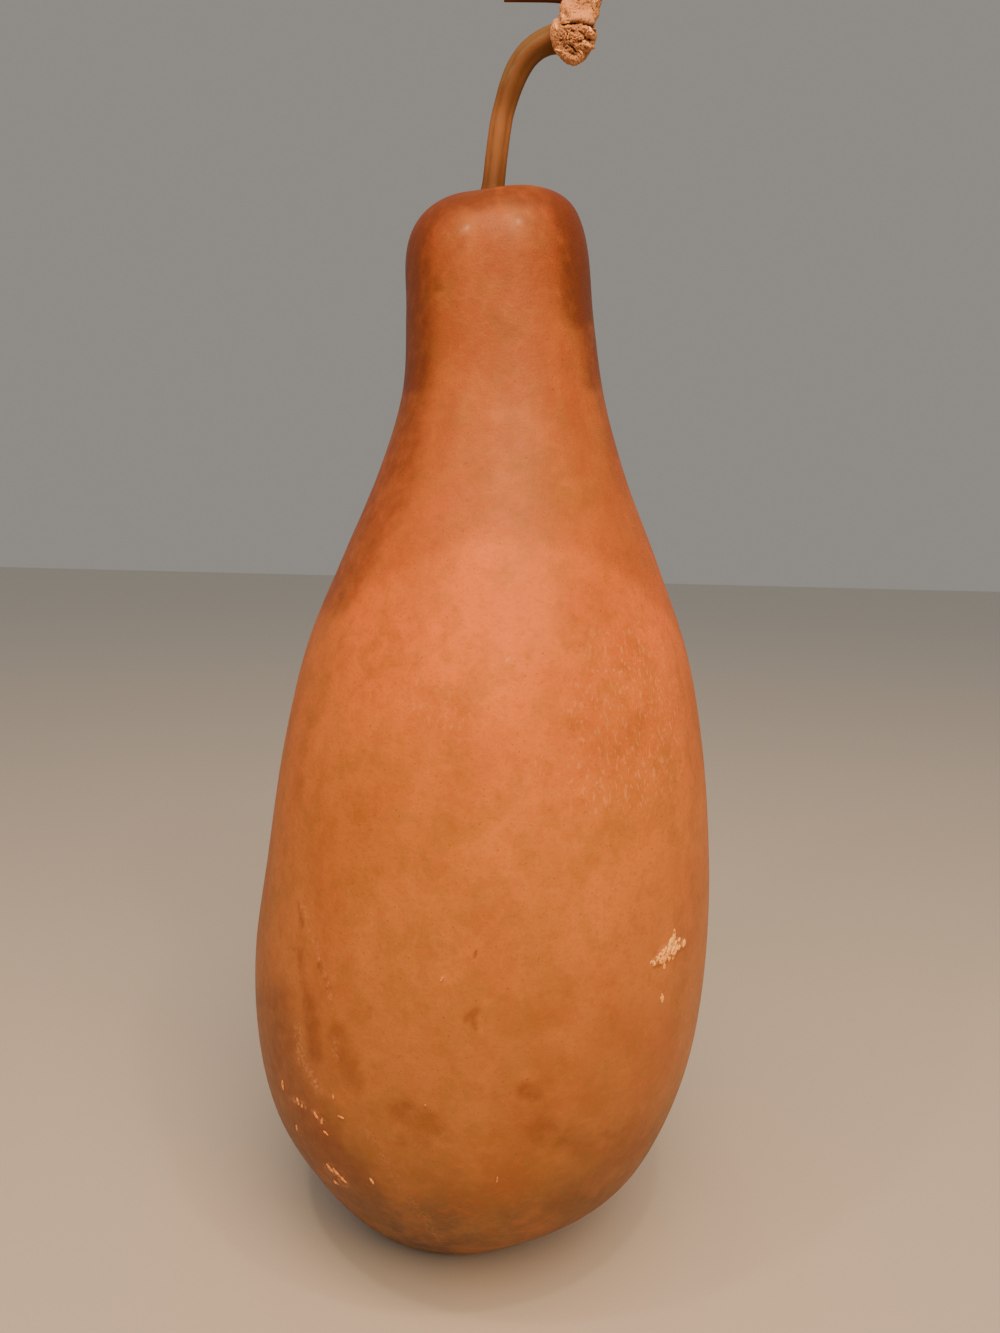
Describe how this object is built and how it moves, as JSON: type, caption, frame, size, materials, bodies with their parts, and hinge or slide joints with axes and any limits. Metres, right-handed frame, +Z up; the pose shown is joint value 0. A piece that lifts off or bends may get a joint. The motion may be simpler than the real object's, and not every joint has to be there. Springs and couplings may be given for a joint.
{
  "type": "dried gourd",
  "caption": "Whole dried bottle gourd that stands upright, with a long neck, a bent stem and a corky piece of vine at its top.",
  "frame": {"origin": "middle of the flat spot that the gourd stands on", "axes": "+Z up along the gourd, +X to the viewer's right, -Y towards the viewer"},
  "size_m": [0.2338, 0.233, 0.6148],
  "materials": {
    "gourd_shell": "hard dried shell, orange-brown, with a waxed satin sheen",
    "dried_stem": "smooth dried stem, brown, satin",
    "corky_vine": "dull, pale, flaky cork with torn fibres"
  },
  "bodies": {
    "root": {"gourd_body": "gourd_shell", "stem": "dried_stem", "vine_knot": "corky_vine"}
  },
  "joints": []
}
